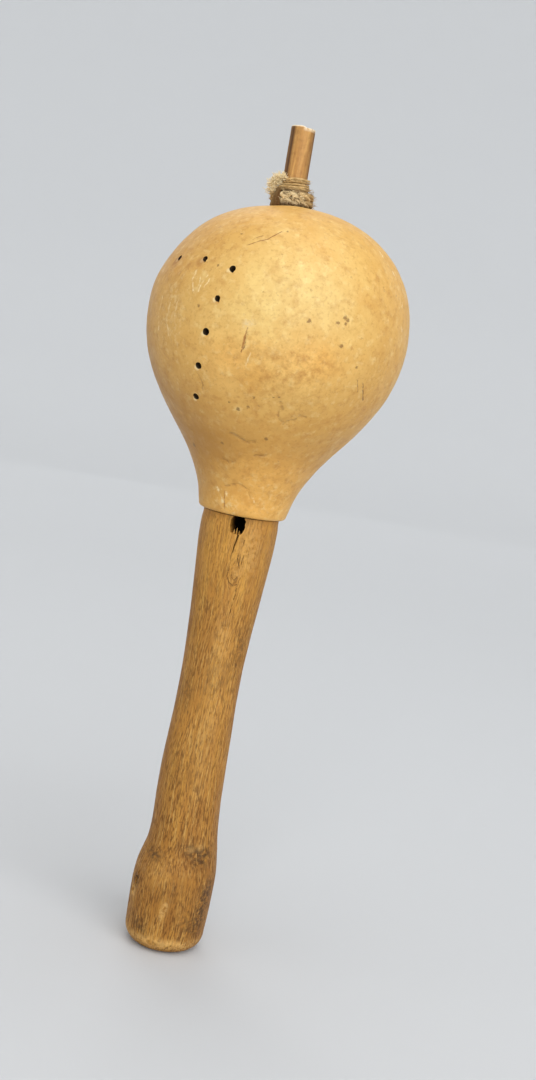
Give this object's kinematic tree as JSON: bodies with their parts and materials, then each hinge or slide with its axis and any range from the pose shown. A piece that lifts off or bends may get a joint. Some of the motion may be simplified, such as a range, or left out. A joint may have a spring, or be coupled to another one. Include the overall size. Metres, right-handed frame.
{
  "type": "gourd rattle",
  "caption": "Hand rattle: a hollow gourd with sound holes on a carved wooden handle, a lashed spindle through its crown and loose pebbles inside.",
  "frame": {"origin": "centre of the handle's flat butt end", "axes": "+Z along the handle's axis from the butt to the gourd's crown; -Y faces the viewer of the picture; +X to the picture's right"},
  "size_m": [0.0814, 0.0814, 0.2633],
  "materials": {
    "gourd_skin": "satin",
    "handle_wood": "hand-worn satin",
    "spindle_wood": "whittled, matt",
    "lashing_fibre": "frayed twisted fibre",
    "pebble_stone": "water-worn matt"
  },
  "bodies": {
    "rattle": {"handle": "handle_wood", "gourd_shell": "gourd_skin", "spindle": "spindle_wood", "lashing_cord": "lashing_fibre", "frayed_end": "lashing_fibre"},
    "pebble_01": {"pebble_01": "pebble_stone"},
    "pebble_02": {"pebble_02": "pebble_stone"},
    "pebble_03": {"pebble_03": "pebble_stone"},
    "pebble_04": {"pebble_04": "pebble_stone"},
    "pebble_05": {"pebble_05": "pebble_stone"},
    "pebble_06": {"pebble_06": "pebble_stone"},
    "pebble_07": {"pebble_07": "pebble_stone"},
    "pebble_08": {"pebble_08": "pebble_stone"},
    "pebble_09": {"pebble_09": "pebble_stone"},
    "pebble_10": {"pebble_10": "pebble_stone"},
    "pebble_11": {"pebble_11": "pebble_stone"},
    "pebble_12": {"pebble_12": "pebble_stone"},
    "pebble_13": {"pebble_13": "pebble_stone"},
    "pebble_14": {"pebble_14": "pebble_stone"},
    "pebble_15": {"pebble_15": "pebble_stone"},
    "pebble_16": {"pebble_16": "pebble_stone"}
  },
  "joints": [
    {"name": "pebble_01_travel", "type": "slide", "parent": "rattle", "child": "pebble_01", "axis": [0, 0, 1], "range_m": [0, 0.075]},
    {"name": "pebble_02_travel", "type": "slide", "parent": "rattle", "child": "pebble_02", "axis": [0, 0, 1], "range_m": [0, 0.0749]},
    {"name": "pebble_03_travel", "type": "slide", "parent": "rattle", "child": "pebble_03", "axis": [0, 0, 1], "range_m": [0, 0.0748]},
    {"name": "pebble_04_travel", "type": "slide", "parent": "rattle", "child": "pebble_04", "axis": [0, 0, 1], "range_m": [0, 0.0734]},
    {"name": "pebble_05_travel", "type": "slide", "parent": "rattle", "child": "pebble_05", "axis": [0, 0, 1], "range_m": [0, 0.074]},
    {"name": "pebble_06_travel", "type": "slide", "parent": "rattle", "child": "pebble_06", "axis": [0, 0, 1], "range_m": [0, 0.0752]},
    {"name": "pebble_07_travel", "type": "slide", "parent": "rattle", "child": "pebble_07", "axis": [0, 0, 1], "range_m": [0, 0.064]},
    {"name": "pebble_08_travel", "type": "slide", "parent": "rattle", "child": "pebble_08", "axis": [0, 0, 1], "range_m": [0, 0.0633]},
    {"name": "pebble_09_travel", "type": "slide", "parent": "rattle", "child": "pebble_09", "axis": [0, 0, 1], "range_m": [0, 0.0634]},
    {"name": "pebble_10_travel", "type": "slide", "parent": "rattle", "child": "pebble_10", "axis": [0, 0, 1], "range_m": [0, 0.0646]},
    {"name": "pebble_11_travel", "type": "slide", "parent": "rattle", "child": "pebble_11", "axis": [0, 0, 1], "range_m": [0, 0.0649]},
    {"name": "pebble_12_travel", "type": "slide", "parent": "rattle", "child": "pebble_12", "axis": [0, 0, 1], "range_m": [0, 0.0637]},
    {"name": "pebble_13_travel", "type": "slide", "parent": "rattle", "child": "pebble_13", "axis": [0, 0, 1], "range_m": [0, 0.0631]},
    {"name": "pebble_14_travel", "type": "slide", "parent": "rattle", "child": "pebble_14", "axis": [0, 0, 1], "range_m": [0, 0.0624]},
    {"name": "pebble_15_travel", "type": "slide", "parent": "rattle", "child": "pebble_15", "axis": [0, 0, 1], "range_m": [0, 0.0641]},
    {"name": "pebble_16_travel", "type": "slide", "parent": "rattle", "child": "pebble_16", "axis": [0, 0, 1], "range_m": [0, 0.0647]}
  ]
}
